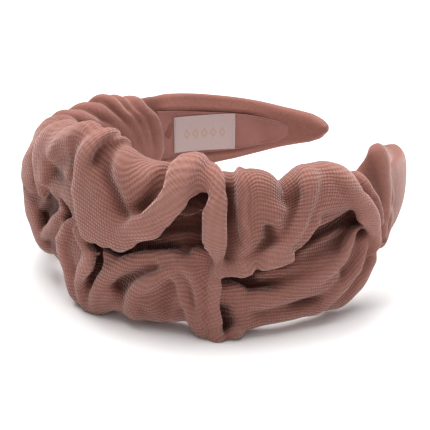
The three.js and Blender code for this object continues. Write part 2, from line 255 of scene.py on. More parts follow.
# Folds as soft ridges: points, half-width, height at the crest. One number serves all points.
RIDGES = [
    # left edge of the big panel, over a tall hump at the top
    ([(11.5, 12), (11.8, 20), (13, 28), (14, 36), (16, 44)], 5.0, [6.5, 7.5, 9.5, 10, 8]),
    # diagonal fold
    ([(27, 1), (29.5, 2.8), (36, 8.5), (41.5, 14), (46, 18.5), (49, 22.5), (50.8, 26), (51.5, 31),
      (51.5, 38)], [4.6, 5, 5.4, 5.4, 5, 4.4, 3.9, 3.6, 3.6], [6, 7, 8, 8.5, 8.5, 8.5, 7.5, 6.5, 5]),
    # centre ridge, from the peak down to the pinch, and the sheet beside it
    ([(50, 33), (51.5, 30), (54, 29), (57, 25.5), (59, 22), (59.6, 16), (59.8, 10), (60, 4.5),
      (60.2, -1), (60.5, -7.5)], [4.5, 4, 3.6, 3.4, 3.3, 3.3, 3.3, 3.2, 3, 2.4],
     [4, 4.5, 5, 6, 7.5, 8.5, 8.5, 8.5, 8, 7.5]),
    ([(62, 19), (63.5, 12), (64, 3.5), (63, -2.5), (61.5, -6.5)], 3.4, [2, 3.5, 4.5, 5, 5.5]),
    ([(57, 33), (62.5, 29.5), (66, 27.5)], 3.0, 2.0),
    # rims of the right panel
    ([(67.5, 34), (66.8, 24), (67, 14), (67.5, 8), (68.3, 4), (67.3, 0.5), (65, -3.5), (62, -7)],
     2.4, 5.2),
    ([(62, -7), (65.5, -5.5), (70, -4), (75.5, -3), (80.5, -1.5)], 2.6, 5.6),
    ([(76.5, 11.5), (78, 7.5), (78, 3), (77.5, -0.5)], 3.2, 5.2),
    # the big loop
    ([(93, 34), (92, 27), (90, 22), (89, 17.5), (87.5, 13), (85.5, 7.5), (83, 3), (79.5, 0),
      (74, -2), (69, -4), (64, -5.8)], [5.5, 5, 4.6, 4.4, 4.2, 4, 3.8, 3.4, 3, 2.8, 2.4],
     [5, 6, 7, 7.5, 7.5, 7, 7, 6.5, 6, 6, 6]),
    ([(92, 30), (99, 28), (105, 23.5), (110.5, 13), (115.5, 3.5), (118.5, -5), (119.5, -11),
      (117, -13)], [6, 6.5, 6.5, 6, 5.2, 4.4, 3.4, 2.6], [6, 7, 8, 8, 7.5, 7, 6.5, 5]),
    # folds right of the loop, which run into the second pinch
    ([(115.5, 32), (115.5, 24), (117, 15), (120, 5.5), (122, -3), (121, -9)],
     [4, 3.6, 3.2, 2.8, 2.4, 2], [3.5, 5, 5.5, 5.5, 5, 4]),
    ([(128, 34), (128, 25), (128, 18), (128, 11), (127, 4), (125, -4), (123.5, -12)],
     [8, 8, 7.5, 6.5, 5.5, 5, 4.6], [2.6, 3, 3.6, 4.5, 5.5, 5.5, 5]),
    ([(140, 8), (138.5, 3), (135, -3), (130.5, -9), (126, -14)], [6, 5.5, 5, 4.6, 4.2], 4.0),
    # cloth inside the pockets
    ([(33, 1), (45, 4.5), (56.5, 6.5)], 3.0, -0.8),
    ([(50, 14), (53, 15.5), (56, 17.5)], 2.2, 0.4),
    ([(106, 3), (97.5, 2), (91, 0), (84, -2.5)], 1.8, -0.2),
    ([(105, 1.5), (95, -1.5), (87.5, -3.5), (80.5, -5)], 1.8, -0.6),
    ([(104, 0), (95.5, -4.5), (88.5, -7), (80, -8), (72, -8.5)], 2.4, 0.2),
    # the two ropes under the loop
    ([(107, 1), (104.5, -4), (102, -8.5), (97.5, -11.5), (92, -13.5), (86, -14.8), (78, -15)],
     [1.8, 2.6, 3.2, 3.6, 3.8, 3.8, 3.2], [3, 4, 4.5, 4.5, 4, 3, 1.5]),
    ([(110, -5), (111, -10), (109, -15), (104, -18), (99, -20), (94, -23), (90, -28)],
     [2.4, 3, 3.6, 3.8, 3.8, 3.6, 3], [3.5, 4.2, 4.5, 4.5, 4, 3.5, 3]),
    ([(118, -12), (119, -18), (113, -20.5), (108, -23), (102, -28)], 3.4, [4, 4, 4, 3.5, 3]),
    # bottom sheet right of the pinch
    ([(62.5, -13.5), (68, -17), (76, -17.2), (86, -16.5), (93, -16), (98, -14)], 4.5, 2.8),
    ([(66, -18), (68, -23), (72.5, -26), (78, -25), (85, -26), (92, -25)], 4.6, 3.0),
    ([(68, -22), (68.5, -28), (68, -36)], 2.8, 3.0),
    ([(61, -24), (64, -26), (66.5, -31)], 3.4, 1.0),
    # lower edge, from the left
    ([(-12, 9), (-7.5, 9.8), (-2, 10.2), (2.5, 9.8), (7, 9.3)], 1.8, 1.5),
    ([(2, 8), (4, 4.5), (-1, -1.5), (-7, -7.5), (-12, -13), (-17, -20)],
     [2, 2.4, 3, 3.4, 3.6, 3.6], [1, 2, 2.5, 2.5, 2.5, 2]),
    ([(8, 1.5), (3.5, -3.5), (0.3, -9), (0.8, -13), (4, -17.5), (5, -25), (4, -34)],
     [2, 3.2, 3.8, 4, 4, 4, 4], [3, 4.5, 5, 5, 4.5, 4, 3]),
    ([(10, -1), (12, -5), (13.8, -8.5), (13.8, -12), (11, -16), (9, -19.5), (10, -24), (13, -30)],
     [2.4, 3, 3, 3.2, 3.4, 3.8, 4, 4], [5, 5.5, 6, 6, 5.5, 5, 4.5, 4]),
    ([(9.5, -22), (15, -25), (20, -24.5), (24, -20)], 3.6, 3.5),
    ([(50, -1), (44.5, -3.5), (37.5, -6), (31, -9.5), (25.5, -13), (21, -17), (17.5, -21), (15, -26)],
     [3, 4, 4.6, 4.6, 4.6, 4.6, 4.6, 4.6], [2.5, 3.2, 3.6, 3.8, 4, 4, 4, 4]),
    ([(27, -17), (31, -18), (35, -19)], 2.4, 0.5),
    ([(54.5, -2), (49, -5.5), (44, -9), (39, -12.5), (34.5, -16), (32, -20.5), (31, -27),
      (32, -36)], 4.2, [3.6, 4.2, 4.8, 5, 5, 4.6, 4.4, 4.4]),
    ([(26, -36), (31, -32), (40, -31.5), (48, -32)], 4.0, 4.2),
    ([(46, -8.5), (48.5, -12), (49.5, -16), (50.5, -20), (53, -26)], 3.0, 4.8),
    ([(51, -7), (53, -11.5), (54, -15.5), (54.5, -20), (55, -26), (57, -36)], 3.0, 5.4),
    ([(59.5, -6), (58.8, -11), (58.4, -16), (58.8, -21), (60, -28), (61, -38)], 2.6, 6.6),
    ([(55.5, -22), (57, -27), (58, -36)], 4.0, 5.0),
    ([(57, -32), (61, -30), (65, -26)], 3.8, 5.4),
    # far left folds
    ([(-44, 30), (-36, 27), (-32, 20), (-32, 12), (-34, 4)], 9.0, [-1, -0.6, 1.6, 4.4, 6]),
    ([(-12, 36), (-11, 29), (-12.5, 23.5), (-15.5, 18.5), (-17, 14), (-15.8, 10), (-13, 7)],
     [4, 3.6, 3.2, 3, 2.8, 2.6, 2.4], [5, 6, 6.5, 6.5, 6.5, 6, 5]),
    ([(9, 25.5), (4.5, 23.5), (-1.5, 22), (-8, 18)], 3.4, 6.6),
    ([(-36, 2), (-35, -5), (-31, -12), (-26, -20), (-20, -30)], 9.0, [5, 5, 5, 4.5, 3]),
]

# Pockets that stay open down to FLOOR; elsewhere the cloth spans from fold to fold: line, reach.
POCKETS = [
    ([(19, -7), (19, -11), (17, -15)], 2.6),
    ([(24, -3.5), (33, 1), (45, 5), (57, 8)], 5.0),
    ([(50, 14), (56, 16)], 4.0),
    ([(107, 3), (99, 1), (90, -1.5), (82, -5), (70, -9), (63, -11)], 5.0),
    ([(100, -15.5), (92, -18.5), (84, -20)], 2.2),
    ([(62.5, -14), (63.3, -18), (63.5, -20)], 2.4),
    ([(-21, 15), (-19.5, 8), (-14, 4), (-6, 6)], 2.2),
    ([(1, 7), (5, 4), (6, 0)], 2.4),
    ([(-7, 4), (-13, -3), (-18, -10)], 3.5),
]

# Shallow creases (-) and swells (+) drawn on top of the rest: points, half-width, height.
TOUCHES = [
    ([(62.5, 22), (63.4, 12), (63.9, 4), (63, -2)], 2.2, -3.4),
    ([(16.5, 31), (17.5, 26), (19, 22.5)], 1.6, -2.6),
    ([(20.5, 26), (24, 21), (28, 17), (31, 12)], 3.8, -3.0),
    ([(36, 15), (40, 20.5), (43, 24.5), (46, 27)], 3.2, -4.0),
    ([(29.5, -3), (45, 0), (50.5, -1)], 1.5, -1.8),
    ([(18.5, -5), (19, -9.5), (17.3, -13.5), (14, -18)], 1.8, -2.0),
    ([(45.5, -13), (44, -17), (43.5, -22)], 4.0, -1.2),
    ([(40, -7.5), (34, -11), (29, -14.5), (26.5, -18)], 2.6, -2.4),
    ([(51.8, -10), (52.4, -14), (52.8, -19)], 1.6, -1.0),
    ([(80, 23), (83.5, 21), (84.5, 16.5), (83, 11), (81, 5)], 6.6, -3.0),
    ([(75, 8), (75.5, 4.5), (73, 1.5), (70.5, -2.5)], 3.0, -3.0),
    ([(6, 18), (1, 16.5), (-4, 16)], 4.2, -2.6),
]

# Folds on the inside of the left arm's root and over the far side of the crown: (s, height up).
INNER_RIDGES = [
    ([(-100, 34), (-104, 22), (-109, 11), (-112, 3), (-112, -5), (-109, -13)], 5.0, 2.0),
    ([(-92, 36), (-97, 25), (-103, 11), (-106, 1), (-107, -9), (-106, -22)], 3.8, 1.8),
    ([(-84, 38), (-89, 27), (-97, 12), (-102, 1), (-105, -9), (-103, -24)], 4.6, 2.2),
    ([(-72, 40), (-78, 29), (-88, 13), (-96, 2), (-101, -9), (-99, -26)], 5.4, 2.4),
    ([(-60, 40), (-66, 30), (-77, 15), (-88, 3), (-96, -9), (-94, -26)], 5.8, 2.2),
    ([(-48, 40), (-54, 30), (-65, 15), (-78, 3), (-90, -9), (-88, -26)], 6.2, 1.8),
    ([(-42, 22), (-54, 10), (-68, -4), (-78, -24)], 5.6, 1.0),
    ([(-38, 8), (-48, -4), (-58, -14), (-64, -28)], 5.0, 0.6),
]

# ---- The grid the folds are drawn on, and how a fold is drawn ----
ROWS, COLUMNS = 560, 190
S_END = ARM_LENGTH - 0.02
S = np.linspace(-S_END, S_END, ROWS)
W = np.linspace(-GIRTH / 2, GIRTH / 2, COLUMNS, endpoint=False)
SS, WW = np.meshgrid(S, W, indexing="ij")
DS, DW = S[1] - S[0], W[1] - W[0]
STRETCH = 1.12  # cloth on the outer face is this much longer than the hoop
MERGE = 0.9  # roundness where two folds meet
DOME_SHARE = 0.9  # share of a ridge's height taken up by its round top
FLANK, FLANK_REACH = 3, 3  # slope beyond a fold's edge, and how far it goes on


def near(points):
    """Distance from every grid point to a line, and the position along it, 0 to len - 1."""
    best = np.full(SS.shape, 1e9)
    where = np.zeros(SS.shape)
    for i in range(len(points) - 1):
        (s0, w0), (s1, w1) = points[i], points[i + 1]
        gap_w = wrapped(WW - w0)
        gap_s = (SS - s0) * STRETCH
        ds, dw = (s1 - s0) * STRETCH, w1 - w0
        t = np.clip((gap_s * ds + gap_w * dw) / (ds * ds + dw * dw), 0, 1)
        d = np.hypot(gap_s - t * ds, gap_w - t * dw)
        closer = d < best
        best[closer] = d[closer]
        where[closer] = i + t[closer]
    return best, where


def inside(outline):
    """Signed distance to a closed outline, + inside."""
    d, _ = near(outline + outline[:1])
    hit = np.zeros(SS.shape, bool)
    for i in range(len(outline)):
        (s0, w0), (s1, w1) = outline[i - 1], outline[i]
        crosses = (w0 > WW) != (w1 > WW)
        with np.errstate(divide="ignore", invalid="ignore"):
            at = s0 + (WW - w0) * (s1 - s0) / (w1 - w0)
        hit ^= crosses & (SS < at)
    return np.where(hit, d, -d)


def smax(a, b, k=MERGE):
    """The higher of two surfaces, with a small round where they meet."""
    h = np.clip(0.5 + 0.5 * (a - b) / k, 0, 1)
    return b + (a - b) * h + k * h * (1 - h)


def along(values, where, count):
    """values, one for each of count points or one for all, read between them at where."""
    return np.interp(where, np.arange(count), np.broadcast_to(values, (count,)))


def blur(field, sigma_s, sigma_w):
    """Gaussian blur on the grid, in mm; w goes round, s ends."""
    ks = np.fft.fftfreq(2 * ROWS, DS)[:, None]
    kw = np.fft.fftfreq(COLUMNS, DW)[None, :]
    doubled = np.concatenate([field, field[::-1]], 0)
    gain = np.exp(-2 * math.pi**2 * ((ks * sigma_s) ** 2 + (kw * sigma_w) ** 2))
    return np.fft.ifft2(np.fft.fft2(doubled) * gain).real[:ROWS]


def noise(size_s, size_w, seed):
    """Smooth noise with about unit spread."""
    white = np.random.default_rng(seed).standard_normal(SS.shape)
    field = blur(white, size_s / 2.5, size_w / 2.5)
    return field / field.std()


def toward_view(points, heights):
    """The points moved along the line of sight from READ_LIFT to their own heights."""
    moved = []
    for (s, w), height in zip(points, np.broadcast_to(heights, (len(points),))):
        out = hoop_out(angle_at(s))
        toward = out[0] * math.sin(VIEW_AZIMUTH) - out[1] * math.cos(VIEW_AZIMUTH)
        facing = max(toward, LEAST_FACING)
        sideways = -out[1] * math.sin(VIEW_AZIMUTH) - out[0] * math.cos(VIEW_AZIMUTH)
        rise = (height - READ_LIFT) * (abs(s - VIEW_MIDDLE) < VIEW_REACH)
        moved.append((s + rise * sideways / facing, w + rise * math.tan(VIEW_ELEVATION) / facing))
    return moved


def ridge_height(points, radius, height):
    d, where = near(toward_view(points, height))
    x = d / along(radius, where, len(points))
    h = along(height, where, len(points))
    dome = np.where(x < 1, np.sqrt(np.clip(1 - x * x, 0, 1)), 0)
    drop = h - FLOOR
    foot = FLOOR - (1 - DOME_SHARE) * drop - FLANK * (x - 1)
    return np.where(x < 1, h - drop * DOME_SHARE * (1 - dome), foot)


def flap_height(outline, radius, height):
    d = inside(toward_view(outline, height))
    x = np.clip(1 - d / radius, 0, 1)
    roll = np.sqrt(np.clip(1 - x * x, 0, 1))
    foot = FLOOR + FLANK * np.maximum(d, -FLANK_REACH)
    return np.where(d > 0, height - (height - FLOOR) * (1 - roll), foot)


def with_ridges(field, ridges):
    for points, radius, height in ridges:
        field = smax(field, ridge_height(points, radius, height))
    return field


def spread_max(field, reach):
    """The highest value within reach (mm) on the grid."""
    for axis, step in ((0, DS), (1, DW)):
        best = field
        for shift in range(1, int(round(reach / step)) + 1):
            for signed in (shift, -shift):
                best = np.maximum(best, np.roll(field, signed, axis))
        field = best
    return field


# ---- Folds in view ----
SPAN, SAG = 8.0, 2.6  # cloth spans gaps of up to twice SPAN, SAG lower than the folds' crests
SPAN_BLUR, SPAN_MERGE = 1.8, 1.6
HEM, HEM_SAG = (20, 27), 0.3  # towards the lower hem the sag falls to this share
WRINKLE, WRINKLE_SIZE = 0.35, (18, 3.5)  # uneven ground under the folds: height, size
UNEVEN, UNEVEN_SIZE = 0.3, 7  # unevenness of the finished folds
UNEVEN_IN_POCKETS, FOLD_RANGE = 0.4, (-3, 3)
TOUCH_FALL = 1.6
SOFTEN = (0.7, 0.6)
SEEN_LEFT, SEEN_RIGHT = (-42, -32), (128, 136)  # the part of the cover in view
SEEN_MIDDLE, SEEN_W = -1, (29, 38)


def spanned(field):
    """Cloth stretched over the folds of field, down to FLOOR only in the pockets."""
    closed = -spread_max(-spread_max(field, SPAN), SPAN)
    sag = SAG * (1 - (1 - HEM_SAG) * smooth(-WW, *HEM))
    ground = blur(closed, SPAN_BLUR, SPAN_BLUR) - sag
    for points, width in POCKETS:
        d, _ = near(points)
        open_share = 1 - smooth(d, width * 0.6, width * 1.5)
        ground = ground * (1 - open_share) + FLOOR * open_share
    return smax(field, ground, SPAN_MERGE)


def folds_in_view():
    field = np.full(SS.shape, FLOOR) + WRINKLE * noise(*WRINKLE_SIZE, 1)
    for outline, radius, height in FLAPS:
        field = smax(field, flap_height(outline, radius, height))
    return spanned(with_ridges(field, RIDGES))


# ---- Folds out of view ----
GATHERS_FROM, GATHERS_TO = -116.0, 136
GATHER_LEAN, GATHER_STRAY, GATHER_POINTS = 14, 2, 6
GATHER_REACH, GATHER_MIDDLE = (26, 50), 20
GATHER_RADIUS, GATHER_HEIGHT, GATHER_STEP = (3.4, 5.6), (0.5, 3.0), (3.5, 6.0)
FAR_SIDE = -45.0  # beyond it the inside of the band is in view
FAR_REACH, FAR_MIDDLE = 26, -8  # there the gathers keep to the outer face
LINER_TO, LINER_STEP, LINER_REACH = 118, 6.5, 24  # gathers on the inside of the band
LINER_LEAN, LINER_STRAY = 9, 2
LINER_RADIUS, LINER_HEIGHT = (3, 4.6), (-1.2, 0.8)


def folds_out_of_view():
    """Gathers across the band, uneven, sloping one way and another."""
    ridges = []
    s_at = GATHERS_FROM
    while s_at < GATHERS_TO:
        lean = rng.uniform(-GATHER_LEAN, GATHER_LEAN)
        reach = rng.uniform(*GATHER_REACH)
        middle = rng.uniform(-GATHER_MIDDLE, GATHER_MIDDLE)
        if s_at < FAR_SIDE:
            reach, middle = FAR_REACH, FAR_MIDDLE
        line = []
        for t in np.linspace(-1, 1, GATHER_POINTS):
            stray = rng.uniform(-GATHER_STRAY, GATHER_STRAY)
            line.append((s_at + lean * t + stray, middle + reach * t))
        ridges.append((line, rng.uniform(*GATHER_RADIUS), rng.uniform(*GATHER_HEIGHT)))
        s_at += rng.uniform(*GATHER_STEP)
    for s_at in np.arange(FAR_SIDE + 4, LINER_TO, LINER_STEP):
        lean = rng.uniform(-LINER_LEAN, LINER_LEAN)
        middle = s_at + rng.uniform(-LINER_STRAY, LINER_STRAY)
        line = [(middle + lean * t, GIRTH / 2 + LINER_REACH * t) for t in (-1, 0, 1)]
        ridges.append((line, rng.uniform(*LINER_RADIUS), rng.uniform(*LINER_HEIGHT)))
    for points, radius, height in INNER_RIDGES:
        ridges.append(([(s, GIRTH / 2 - up) for s, up in points], radius, height))
    return with_ridges(np.full(SS.shape, FLOOR), ridges)


def all_folds():
    seen = between(SS, SEEN_LEFT, SEEN_RIGHT) * (1 - smooth(np.abs(WW - SEEN_MIDDLE), *SEEN_W))
    field = folds_in_view() * seen + folds_out_of_view() * (1 - seen)
    for points, radius, height in TOUCHES:
        d, _ = near(toward_view(points, TOUCH_LIFT))
        field = field + height * np.exp(-((d / radius) ** 2) * TOUCH_FALL)
    on_crests = UNEVEN_IN_POCKETS + (1 - UNEVEN_IN_POCKETS) * smooth(field, *FOLD_RANGE)
    field = field + UNEVEN * noise(UNEVEN_SIZE, UNEVEN_SIZE, 2) * on_crests
    return blur(field, *SOFTEN)


# ---- The cover's surface ----
RUCHED_LEFT, RUCHED_RIGHT = (-119, -112), (122, 156)  # the folds fade out on the smooth arms
INNER_FACE = (GIRTH / 2 - 26, GIRTH / 2 - 18)
RIM_FACE = (GIRTH / 2 - 24, GIRTH / 2 - 12)
ROOM, FULL_ROOM = 0.8, 2.5  # depth left over the foam, and what a full section adds to it
ROOM_LEFT, ROOM_RIGHT = (-104, -88), (104, 124)
INNER_CALM, INNER_CALM_FROM = 0.45, (-60, -40)  # folds are lower on the inside of the band
INNER_END = (104, 114)
TOP_CALM, TOP_W, TOP_FROM = 0.7, (24, 34), (112, 120)  # and on the right arm's upper edge
LEAN, MAX_LEAN, LEAN_BLUR = 3.4, 2.8, 2.2
LEAN_RANGE, NO_LEAN = (-1.0, 1.2), (22, 30)  # the hem does not lean
FLAT_BOTTOM = 0.15  # the cloth rests on the table, just clear of it


def lift_of(folds):
    """How far the cloth stands off the base section."""
    inner_face = smooth(np.abs(WW), *INNER_FACE)
    room = ROOM + FULL_ROOM * between(SS, ROOM_LEFT, ROOM_RIGHT)
    field = np.maximum(folds, -room) * between(SS, RUCHED_LEFT, RUCHED_RIGHT)
    field = field * (1 - INNER_CALM * inner_face * smooth(SS, *INNER_CALM_FROM))
    field = field * (1 - inner_face * smooth(SS, *INNER_END))
    return field * (1 - TOP_CALM * smooth(WW, *TOP_W) * smooth(SS, *TOP_FROM))


def rolled_rim():
    """1 where the cover rolls over the edge of an arm's lining, 0 elsewhere."""
    _, up = base_section(SS, WW)
    above = smooth(up, seam_top(SS), seam_top(SS) + RIM_WIDTH)
    below = smooth(-up, -seam_low(SS), -seam_low(SS) + RIM_WIDTH)
    on_arm = between(np.abs(SS), RIM_START, RIM_END)
    return (above + below) * on_arm * smooth(np.abs(WW), *RIM_FACE)


def leaning_grid():
    """Cloth bulges over its own edges: the upper part of a fold leans out, the foot tucks under."""
    mean = blur(lift, LEAN_BLUR, LEAN_BLUR)
    slope_s = np.gradient(mean, DS, axis=0)
    slope_w = (np.roll(mean, -1, 1) - np.roll(mean, 1, 1)) / (2 * DW)
    excess = np.clip((lift - mean) / 2, *LEAN_RANGE) * (1 - smooth(-WW, *NO_LEAN))
    shift_s = np.clip(-LEAN * slope_s * excess, -MAX_LEAN, MAX_LEAN)
    shift_w = np.clip(-LEAN * slope_w * excess, -MAX_LEAN, MAX_LEAN)
    return np.clip(SS + shift_s, -S_END, S_END), wrapped(WW + shift_w)


def surface(s, w, height):
    """Points at height over the base section, and the directions out of it."""
    step_s = place(s + 0.2, *base_section(s + 0.2, w)) - place(s - 0.2, *base_section(s - 0.2, w))
    w_up, w_down = wrapped(w + 0.3), wrapped(w - 0.3)
    step_w = place(s, *base_section(s, w_up)) - place(s, *base_section(s, w_down))
    normal = unit(np.cross(step_s, step_w))
    return place(s, *base_section(s, w)) + normal * height[..., None], normal


lift = lift_of(all_folds()) + RIM * rolled_rim()
outer, out_dir = surface(*leaning_grid(), lift)
outer[..., 2] = np.maximum(outer[..., 2], FLAT_BOTTOM)

# ---- Fabric directions: a rib coordinate that turns with the folds ----
RIB_ANGLES = [  # points, reach in mm, angle of the ribs in degrees
    ([(12, 25), (20, 20), (28, 12)], 9, -12),
    ([(12, 5), (25, 5)], 8, -4),
    ([(36, 22), (40, 19), (43, 22)], 6, 62),
    ([(33, 6), (40, 10), (47, 17), (51, 24)], 4, 42),
    ([(58, 30), (59.3, 20), (59.4, 8), (60.2, -4)], 3, -48),
    ([(68, 26), (67.6, 10), (66.5, 0)], 2.6, 86),
    ([(73, 24), (82, 22)], 4, -8),
    ([(98, 19), (104, 13), (109, 7)], 6, -20),
    ([(110, 5), (114, -1), (116.5, -8)], 5, -46),
    ([(106, 24), (112, 14), (117, 4)], 4, -34),
    ([(106, -6), (108, -14), (104, -21)], 5, 70),
    ([(56.5, -8), (56.3, -24)], 3, 88),
    ([(46, -12), (42, -20)], 5, 70),
    ([(12, -8), (12, -14), (8, -22)], 4, 30),
]
RIB_SWAY, RIB_SWAY_SIZE = 4, (30, 20)  # how far the ribs wander from straight: degrees, size


def rib_angles():
    angle = RIB_SWAY * noise(*RIB_SWAY_SIZE, 3)
    for points, reach, degrees in RIB_ANGLES:
        d, _ = near(points)
        share = 1 - smooth(d, reach * 0.6, reach * 1.4)
        angle = angle * (1 - share) + degrees * share
    return np.radians(blur(angle, 1.5, 1.5))


def follow(want_s, want_w):
    """The smooth field whose slopes along s and w are closest to those wanted."""
    want_s = np.concatenate([want_s, -want_s[::-1]], 0)
    want_w = np.concatenate([want_w, want_w[::-1]], 0)
    ks = 2 * math.pi * np.fft.fftfreq(2 * ROWS, DS)[:, None]
    kw = 2 * math.pi * np.fft.fftfreq(COLUMNS, DW)[None, :]
    power = ks**2 + kw**2
    power[0, 0] = 1
    field = np.fft.fft2(want_s) * (-1j * ks) + np.fft.fft2(want_w) * (-1j * kw)
    field /= power
    field[0, 0] = 0
    return np.fft.ifft2(field).real[:ROWS]


def fabric_coordinates():
    """Run along the ribs and distance across them, in mm of cloth."""
    angle = rib_angles()
    around = np.roll(outer, -1, 1) - np.roll(outer, 1, 1)
    length_w = np.linalg.norm(around, axis=-1) / (2 * DW)
    length_s = np.linalg.norm(np.gradient(outer, DS, axis=0), axis=-1)
    length_w = np.clip(blur(length_w, 2, 2), 0.2, 1.8)
    length_s = np.clip(blur(length_s, 2, 2), 0.5, 1.8)
    across = WW + follow(-np.sin(angle) * length_s, np.cos(angle) * length_w - 1)
    run = SS + follow(np.cos(angle) * length_s - 1, np.sin(angle) * length_w)
    return run, across


# ---- Meshes ----
CLOTH_THICK = 1.2
INNER_INSET, INNER_STEP = 3, 2  # rows left out at the inner surface's ends; it is coarser too
# Painted shading of the cover from its relief (creases darkened, crests lightened): blur and depth in
# mm
PAINTED_SHADING_BLUR, PAINTED_SHADING_DEPTH = 6.5, 4.6


def tube_faces(rows, columns, offset=0, flip=False):
    i, j = np.meshgrid(np.arange(rows - 1), np.arange(columns), indexing="ij")
    a = i * columns + j
    b = i * columns + (j + 1) % columns
    quads = np.stack([a, a + columns, b + columns, b], -1).reshape(-1, 4) + offset
    return (quads[:, ::-1] if flip else quads).tolist()


def cap(first, count, flip=False):
    """The face that closes the ring of count vertices starting at first."""
    ring = list(range(first, first + count))
    return ring[::-1] if flip else ring


def add_object(name, data):
    obj = bpy.data.objects.new(name, data)
    bpy.context.scene.collection.objects.link(obj)
    return obj


def make_mesh(name, vertices, faces, uv):
    """vertices in mm; faces a list of index lists; uv per loop."""
    mesh = bpy.data.meshes.new(name)
    mesh.from_pydata([tuple(v) for v in (np.asarray(vertices) * MM).tolist()], [], faces)
    mesh.polygons.foreach_set("use_smooth", [True] * len(mesh.polygons))
    layer = mesh.uv_layers.new(name="fabric")
    layer.data.foreach_set("uv", np.asarray(uv, np.float32).ravel())
    mesh.update()
    return add_object(name, mesh)


def inner_part(field):
    return field[INNER_INSET:-INNER_INSET:INNER_STEP, ::INNER_STEP]


def both_surfaces(field):
    """The field's values at the cover's vertices, outer surface first."""
    return np.concatenate([field.ravel(), inner_part(field).ravel()])


def inner_surface(rings):
    around = np.roll(rings, -1, 1) - np.roll(rings, 1, 1)
    normal = unit(np.cross(np.gradient(rings, axis=0), around))
    inner = inner_part(rings - normal * CLOTH_THICK)
    inner[..., 2] = np.maximum(inner[..., 2], FLAT_BOTTOM + 0.1)
    return inner


def closed_tube(name, rings, run, across):
    """A closed tube of cloth with an outer and an inner surface."""
    rows, columns = rings.shape[:2]
    inner = inner_surface(rings)
    inner_rows, inner_columns = inner.shape[:2]
    base = rows * columns
    quads = tube_faces(rows, columns) + tube_faces(inner_rows, inner_columns, base, True)
    caps = [
        cap(0, columns),
        cap(base - columns, columns, True),
        cap(base, inner_columns, True),
        cap(base + (inner_rows - 1) * inner_columns, inner_columns),
    ]
    u, v = both_surfaces(run), both_surfaces(across)
    quad_u, quad_v = u[np.array(quads)], v[np.array(quads)]
    over_the_join = quad_v.max(1, keepdims=True) - quad_v > GIRTH / 3
    quad_uv = np.stack([quad_u, quad_v + GIRTH * over_the_join], -1).reshape(-1, 2)
    cap_uv = [[u[k], 0.0] for face in caps for k in face]
    vertices = np.concatenate([rings.reshape(-1, 3), inner.reshape(-1, 3)])
    return make_mesh(name, vertices, quads + caps, np.concatenate([quad_uv, cap_uv]))


cover = closed_tube("ruched_cover", outer, *fabric_coordinates())
# painted shading: + in the creases, which get painted shade, - on the crests, which get painted
# highlight
painted_shading = np.clip((blur(lift, PAINTED_SHADING_BLUR, PAINTED_SHADING_BLUR) - lift) / PAINTED_SHADING_DEPTH, -1, 1)
painted_shading_layer = cover.data.attributes.new("painted_shading", "FLOAT", "POINT")
painted_shading_layer.data.foreach_set("value", both_surfaces(painted_shading).astype(np.float32))

# ---- Materials ----
RIB_PITCH, TUFT_PITCH, RIB_DEPTH = 1.1, 0.9, 0.24
RIB_SCALE, RIB_WANDER = 230, 0.7  # the ribs wander by noise of this scale, this far in mm
# Weights of what makes up the pile's height.
RIB_SHARE, TUFT_SHARE, CLUMP_SHARE, PILE_SHARE = 0.52, 0.34, 1.1, 0.7
RIBS_END, RIBS_END_FADE = 142, 28  # the ribs fade out towards the smooth arms, along the run
RIBS_START, RIBS_START_FADE = -105, 60
# Painted shade in the creases: strength, colour
CREASE_PAINTED_SHADE, CREASE_PAINTED_SHADE_COLOUR = 1.8, (0.065, 0.019, 0.013)
# Painted highlight on the crests: strength, colour
CREST_PAINTED_HIGHLIGHT, CREST_PAINTED_HIGHLIGHT_COLOUR = -0.6, (0.36, 0.178, 0.147)
VELVET = {
    "Roughness": 0.95, "Specular IOR Level": 0.1, "Sheen Weight": 0.6, "Sheen Roughness": 0.4,
    "Sheen Tint": (0.95, 0.74, 0.70),
}


class Look:
    """A new material, and the nodes that make it."""

    def __init__(self, name):
        self.material = bpy.data.materials.new(name)
        self.material.use_nodes = True
        self.tree = self.material.node_tree
        self.tree.nodes.clear()
        self.shader = self.node("BsdfPrincipled")
        output = self.node("OutputMaterial")
        self.feed(output.inputs[0], self.shader.outputs[0])

    def node(self, kind):
        return self.tree.nodes.new("ShaderNode" + kind)

    def feed(self, socket, value):
        """Give socket another node's output, a colour or a number."""
        if isinstance(value, bpy.types.NodeSocket):
            self.tree.links.new(value, socket)
        elif isinstance(value, tuple):
            socket.default_value = (*value, 1)
        else:
            socket.default_value = value

    def math(self, operation, *values, clamp=False):
        node = self.node("Math")
        node.operation = operation
        node.use_clamp = clamp
        for socket, value in zip(node.inputs, values):
            self.feed(socket, value)
        return node.outputs[0]

    def weighted(self, *terms):
        """The sum of (value, weight) terms."""
        total = 0.0
        for value, weight in terms:
            total = self.math("MULTIPLY_ADD", value, weight, total)
        return total

    def mix(self, factor, a, b):
        node = self.node("Mix")
        node.data_type = "RGBA"
        for index, value in ((0, factor), (6, a), (7, b)):
            self.feed(node.inputs[index], value)
        return node.outputs[2]

    def noise(self, scale, detail):
        place_on = self.node("TexCoord").outputs["Object"]
        node = self.node("TexNoise")
        for name, value in (("Vector", place_on), ("Scale", scale), ("Detail", detail)):
            self.feed(node.inputs[name], value)
        return node.outputs[0]

    def fabric_axes(self):
        """The cloth's own two directions, in mm."""
        uv = self.node("UVMap")
        uv.uv_map = "fabric"
        split = self.node("SeparateXYZ")
        self.feed(split.inputs[0], uv.outputs[0])
        return split.outputs[0], split.outputs[1]

    def wave(self, value, pitch):
        return self.math("SINE", self.math("MULTIPLY", value, 2 * math.pi / pitch))

    def finish(self, colour, height, depth, strength, settings):
        """Colour, bump of depth mm from height, and the shader's plain settings."""
        bump = self.node("Bump")
        for name, value in (("Strength", strength), ("Distance", depth * MM), ("Height", height)):
            self.feed(bump.inputs[name], value)
        settings = settings | {"Normal": bump.outputs[0], "Base Color": colour}
        for name, value in settings.items():
            self.feed(self.shader.inputs[name], value)
        return self.material


